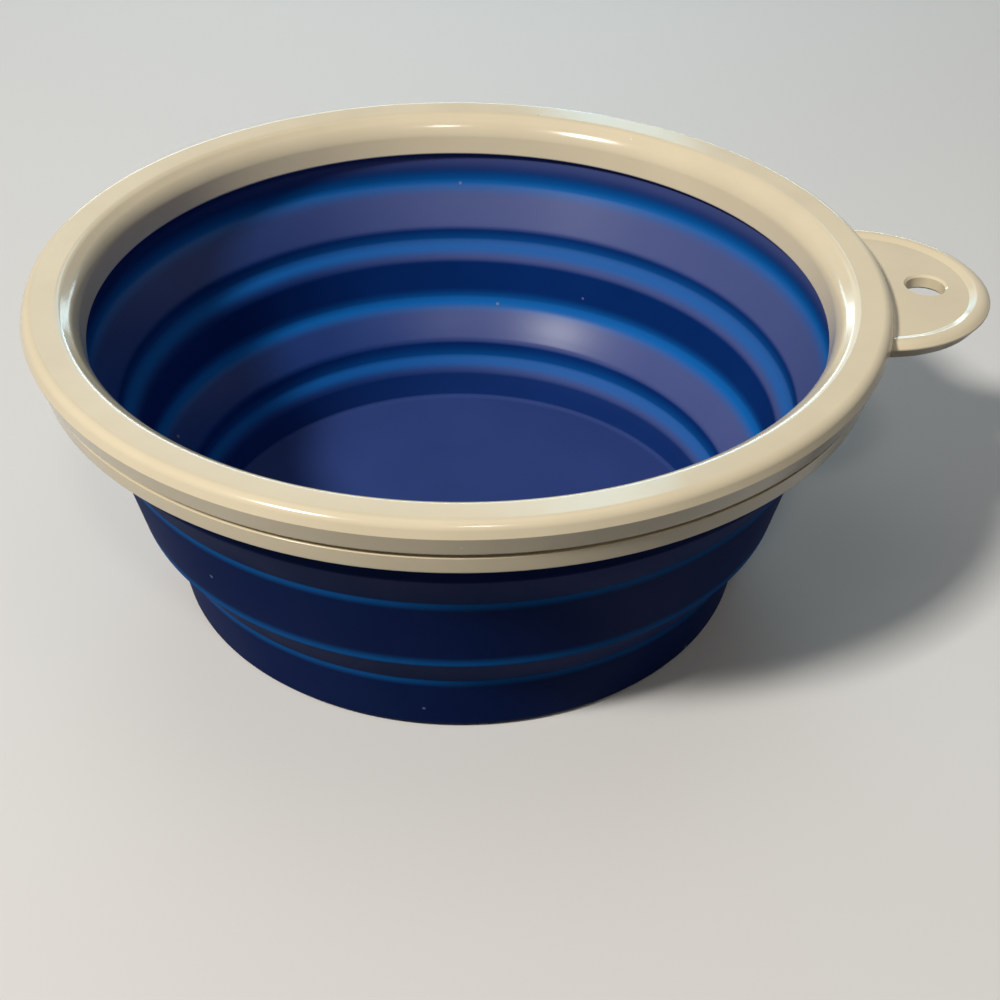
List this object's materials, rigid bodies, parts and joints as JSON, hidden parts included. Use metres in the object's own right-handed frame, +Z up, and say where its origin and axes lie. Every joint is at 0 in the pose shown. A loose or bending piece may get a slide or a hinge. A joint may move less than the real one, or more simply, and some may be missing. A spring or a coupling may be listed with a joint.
{
  "type": "collapsible bowl",
  "caption": "Round travel bowl whose silicone wall folds down flat, clamped in a plastic rim with a hanging tab and hole.",
  "frame": {"origin": "on the bowl's axis, on the surface that its base stands on", "axes": "+Z up along the bowl's axis, +X along the tab from the rim to its tip"},
  "size_m": [0.1461, 0.13, 0.0518],
  "materials": {
    "rim_plastic": "glossy cream moulding",
    "silicone": "satin navy silicone"
  },
  "bodies": {
    "base": {"base_cup": "silicone", "lower_fold": "silicone"},
    "middle": {"middle_band": "silicone", "upper_fold": "silicone"},
    "rim": {"upper_band": "silicone", "rim_lower_ring": "rim_plastic", "rim_upper_ring": "rim_plastic"}
  },
  "joints": [
    {"name": "lower_fold_snap", "type": "slide", "parent": "base", "child": "middle", "axis": [0, 0, 1], "range_m": [-0.0139, 0], "deforming": ["lower_fold"]},
    {"name": "upper_fold_snap", "type": "slide", "parent": "middle", "child": "rim", "axis": [0, 0, 1], "range_m": [-0.0172, 0], "deforming": ["upper_fold"]}
  ]
}
